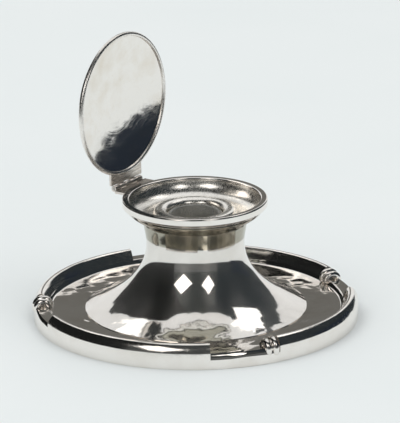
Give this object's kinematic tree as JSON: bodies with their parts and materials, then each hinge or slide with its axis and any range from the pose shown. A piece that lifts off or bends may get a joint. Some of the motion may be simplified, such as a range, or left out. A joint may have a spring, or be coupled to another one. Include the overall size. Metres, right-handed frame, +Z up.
{
  "type": "desk inkstand",
  "caption": "Polished silver capstan inkstand: round tray with pen rests in its rim, waisted body, drip dish with a lift-out liner, and a hinged round lid standing open.",
  "frame": {"origin": "centre of the underside, on the table", "axes": "+Z up the body's axis, +Y towards the hinge, +X to the right of someone who faces the hinge"},
  "size_m": [0.22, 0.22, 0.1901],
  "materials": {
    "silver": "polished silver",
    "gilt_silver": "polished silver, a little worn",
    "lid_silver": "polished silver with traces of gilding inside",
    "board": "dark stained",
    "baize": "green baize",
    "felt": "felt",
    "loading": "pitch",
    "sleeve": "dull",
    "liner": "clear, with old ink stains",
    "pin": "drawn wire"
  },
  "bodies": {
    "stand": {"tray_shell": "silver", "base_board": "board", "baize_pad": "baize", "rim_left": "silver", "rim_front": "silver", "rim_right": "silver", "rim_back": "silver", "scroll_front_left": "silver", "scroll_back_left": "silver", "scroll_front_right": "silver", "scroll_back_right": "silver", "capstan_body": "silver", "loading": "loading", "dish_shell": "silver", "drip_dish": "gilt_silver", "dish_lip": "silver", "well_ring": "silver", "well_sleeve": "sleeve", "felt_disc": "felt", "hinge_plate": "silver", "dish_knuckles": "silver", "hinge_pin": "pin"},
    "lid": {"lid_leaf": "silver", "lid_knuckles": "silver", "lid_pan": "lid_silver", "lid_bead": "silver"},
    "liner": {"ink_liner": "liner"}
  },
  "joints": [
    {"name": "lid_hinge", "type": "hinge", "parent": "stand", "child": "lid", "pos_m": [0, 0.0562, 0.0846], "axis": [1, 0, 0], "range_deg": [0, 91]},
    {"name": "liner_lift", "type": "slide", "parent": "stand", "child": "liner", "axis": [0, 0, 1], "range_m": [0, 0.012]}
  ]
}
